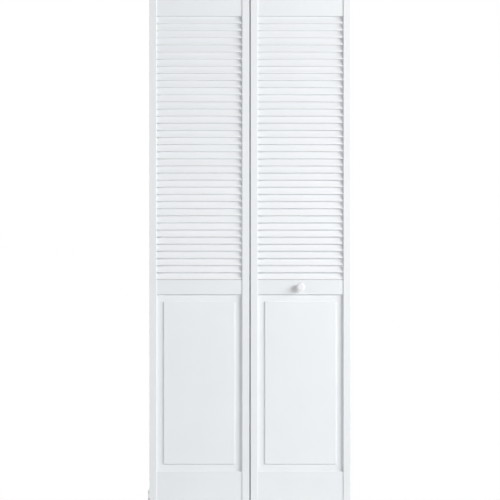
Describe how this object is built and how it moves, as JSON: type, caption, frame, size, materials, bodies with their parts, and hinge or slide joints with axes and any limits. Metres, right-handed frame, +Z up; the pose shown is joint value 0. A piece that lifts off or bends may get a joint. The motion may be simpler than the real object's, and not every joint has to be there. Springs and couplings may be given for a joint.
{
  "type": "bi-fold closet door",
  "caption": "White painted bi-fold closet door: hinged leaves with fixed louvres over raised panels, a knob, pivots, a guide roller, a head track and a jamb bracket.",
  "frame": {"origin": "on the outer face of the jamb bracket's flange, where the left jamb meets the floor, level with the middle of the leaves' thickness", "axes": "+Z up, +X along the closed door from the left jamb to the lead edge, the front with the knob faces -Y"},
  "size_m": [0.8118, 0.0583, 2.0442],
  "materials": {
    "painted_pine": "white satin paint",
    "painted_knob": "white gloss paint",
    "zinc_steel": "bright zinc plate",
    "nylon": "natural moulded nylon",
    "track_steel": "zinc plate"
  },
  "bodies": {
    "root": {"left_pivot_stile": "painted_pine", "left_hinge_stile": "painted_pine", "left_top_rail": "painted_pine", "left_middle_rail": "painted_pine", "left_bottom_rail": "painted_pine", "left_louvre_slats": "painted_pine", "left_raised_panel": "painted_pine", "right_hinge_stile": "painted_pine", "right_lead_stile": "painted_pine", "right_top_rail": "painted_pine", "right_middle_rail": "painted_pine", "right_bottom_rail": "painted_pine", "right_louvre_slats": "painted_pine", "right_raised_panel": "painted_pine", "knob": "painted_knob", "upper_hinge_left_flap": "zinc_steel", "upper_hinge_right_flap": "zinc_steel", "upper_hinge_pin": "zinc_steel", "middle_hinge_left_flap": "zinc_steel", "middle_hinge_right_flap": "zinc_steel", "middle_hinge_pin": "zinc_steel", "lower_hinge_left_flap": "zinc_steel", "lower_hinge_right_flap": "zinc_steel", "lower_hinge_pin": "zinc_steel", "top_pivot_pin": "zinc_steel", "guide_pin": "zinc_steel", "bottom_pivot_pin": "zinc_steel", "bottom_pivot_nut": "zinc_steel", "jamb_bracket": "zinc_steel", "top_pivot_bracket": "zinc_steel", "top_pivot_housing": "nylon", "guide_housing": "nylon", "bottom_pivot_housing": "nylon", "guide_roller": "nylon", "head_track": "track_steel"}
  },
  "joints": []
}
